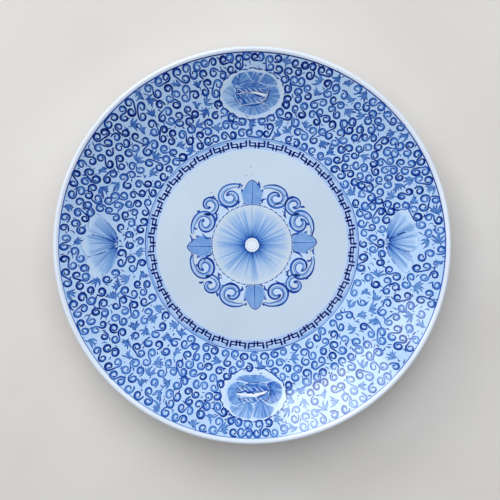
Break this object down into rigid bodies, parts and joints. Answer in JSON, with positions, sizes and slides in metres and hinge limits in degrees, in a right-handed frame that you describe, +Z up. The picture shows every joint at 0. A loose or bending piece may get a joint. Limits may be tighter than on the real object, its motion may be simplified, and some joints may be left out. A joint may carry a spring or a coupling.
{
  "type": "porcelain serving dish",
  "caption": "Wide shallow round porcelain serving bowl with a flat well, flared wall, rounded lip and turned foot ring, painted in underglaze blue.",
  "frame": {"origin": "centre of the foot ring's contact circle, on the surface that the dish stands on", "axes": "+Z up along the axis the dish was turned about; +X to the right and +Y away from the viewer, with the two peony reserves at +Y and -Y and the two fan flowers at -X and +X"},
  "size_m": [0.3028, 0.3028, 0.048],
  "materials": {
    "porcelain_biscuit": "bare fired porcelain, fine and matt",
    "white_glaze": "clear gloss glaze over white porcelain",
    "pale_glaze": "clear gloss glaze, pale blue where it lies thick",
    "blue_wash_glaze": "gloss glaze over light cobalt wash",
    "cobalt_scroll_glaze": "gloss glaze over brushed cobalt scrolls",
    "cobalt_line_glaze": "gloss glaze over dark cobalt line work"
  },
  "bodies": {
    "root": {"floor_slab": "porcelain_biscuit", "flared_wall": "porcelain_biscuit", "foot_ring": "porcelain_biscuit", "rim_lip": "white_glaze", "medallion_glaze": "blue_wash_glaze", "field_glaze": "pale_glaze", "fret_border_glaze": "cobalt_line_glaze", "scroll_band_glaze": "cobalt_scroll_glaze", "outer_glaze": "white_glaze", "base_glaze": "white_glaze"}
  },
  "joints": []
}
